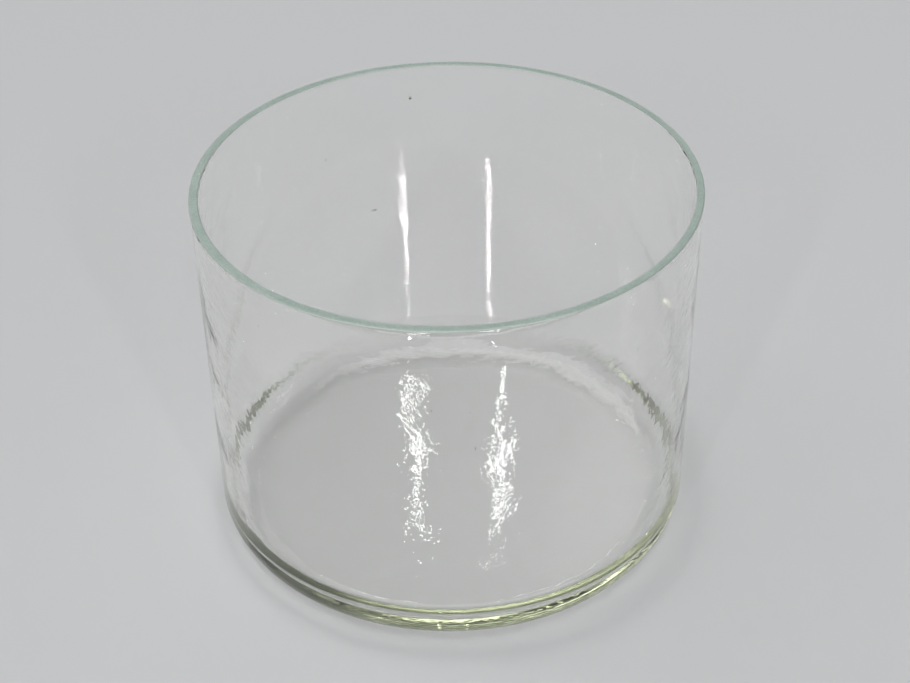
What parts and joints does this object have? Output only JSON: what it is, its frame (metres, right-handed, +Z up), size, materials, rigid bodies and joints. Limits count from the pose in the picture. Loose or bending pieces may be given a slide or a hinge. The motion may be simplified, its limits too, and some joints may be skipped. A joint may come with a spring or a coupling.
{
  "type": "crystallizing dish",
  "caption": "Open round dish of clear glass with a straight wall, a flat ground rim, a rounded heel and a flat base, for holding solutions on a bench.",
  "frame": {"origin": "centre of the underside, on the surface that the dish stands on", "axes": "+Z up along the axis of the round wall, towards the open rim; X and Y are free, because the dish is round"},
  "size_m": [0.19, 0.19, 0.146],
  "materials": {
    "clear_glass": "clear, faintly green, slightly wavy",
    "ground_glass": "fine ground, satin"
  },
  "bodies": {
    "root": {"ground_rim": "ground_glass", "wall": "clear_glass", "heel": "clear_glass", "base": "clear_glass"}
  },
  "joints": []
}
